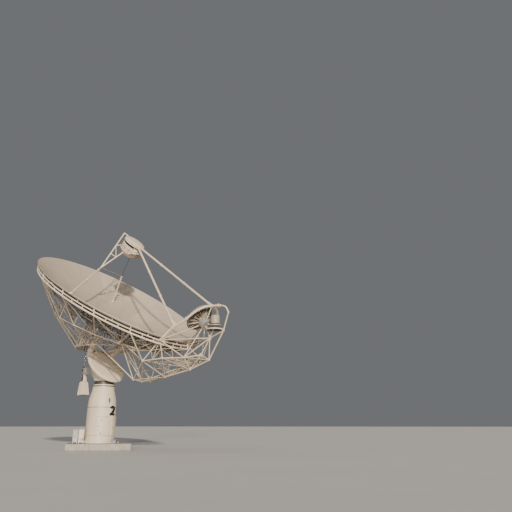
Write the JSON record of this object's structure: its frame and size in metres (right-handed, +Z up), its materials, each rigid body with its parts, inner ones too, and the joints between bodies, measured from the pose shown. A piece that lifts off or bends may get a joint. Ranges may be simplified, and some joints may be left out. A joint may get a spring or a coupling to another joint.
{
  "type": "radio telescope dish",
  "caption": "Steerable offset radio telescope dish: reflector on a lattice back frame with boom, arch, tripod and focus cabin, on a leaning yoke and a steel pedestal.",
  "frame": {"origin": "centre of the foundation's underside, on the azimuth axis, at ground level", "axes": "+Z up; +X towards the boom end of the dish, square to the elevation axis; the elevation axis runs along Y. The dish is in its stow pose."},
  "size_m": [18.2377, 13.52, 17.8354],
  "materials": {
    "concrete": "weathered cast concrete",
    "cream_steel": "satin off-white paint, lightly weathered",
    "reflector_panel": "matt off-white paint on formed sheet",
    "cabinet_grey": "grey powder coat",
    "grey_steel": "satin grey paint",
    "dark_steel": "dark grey paint",
    "screw_steel": "greased ground steel",
    "horn_metal": "bare turned metal"
  },
  "bodies": {
    "foundation": {"foundation_plinth": "concrete", "pedestal_tube": "cream_steel", "access_door": "cream_steel", "equipment_cabinet_left": "cabinet_grey", "equipment_cabinet_right": "cabinet_grey"},
    "turntable": {"slewing_ring": "dark_steel", "yoke_bulkhead": "cream_steel", "yoke_column": "cream_steel", "yoke_arm_near": "cream_steel", "yoke_arm_far": "cream_steel", "jack_outrigger_near": "grey_steel", "jack_outrigger_far": "grey_steel"},
    "dish": {"elevation_trunnion_near": "grey_steel", "elevation_trunnion_far": "grey_steel", "main_reflector": "reflector_panel", "rim_frame": "cream_steel", "jack_lever": "grey_steel", "dish_truss_near": "cream_steel", "dish_truss_far": "cream_steel", "boom_truss": "cream_steel", "boom_arch": "cream_steel", "secondary_reflector": "reflector_panel", "receiver_hub": "dark_steel", "secondary_ribs": "cream_steel", "receiver_can": "cream_steel", "receiver_frame": "grey_steel", "cabin_cap": "cream_steel", "cabin_body": "cream_steel", "feed_horn": "horn_metal", "strut_to_crown": "cream_steel", "strut_to_near_arch": "cream_steel", "forked_leg": "cream_steel", "conduit_mast": "cream_steel", "conduit_upper": "dark_steel", "fork_stay": "grey_steel"},
    "jack_housing": {"jack_gearbox": "dark_steel", "jack_shroud": "cream_steel"},
    "jack_screw": {"jack_screw": "screw_steel"}
  },
  "joints": [
    {"name": "azimuth", "type": "hinge", "parent": "foundation", "child": "turntable", "pos_m": [0, 0, 4.8], "axis": [0, 0, 1], "range_deg": [-185, 275]},
    {"name": "elevation", "type": "hinge", "parent": "turntable", "child": "dish", "pos_m": [0.25, 0, 8.5], "axis": [0, 1, 0], "range_deg": [0, 35]},
    {"name": "jack_swing", "type": "hinge", "parent": "turntable", "child": "jack_housing", "pos_m": [-2.6, 0, 6.25], "axis": [0, 1, 0], "range_deg": [0, 5.9]},
    {"name": "screw_travel", "type": "slide", "parent": "jack_housing", "child": "jack_screw", "axis": [-0.0627, 0, 0.998], "range_m": [0, 1.8]}
  ],
  "couplings": [
    {"joint": "jack_swing", "follows": "elevation", "ratio": 0.16683},
    {"joint": "screw_travel", "follows": "elevation", "m_per_rad": 2.926}
  ]
}
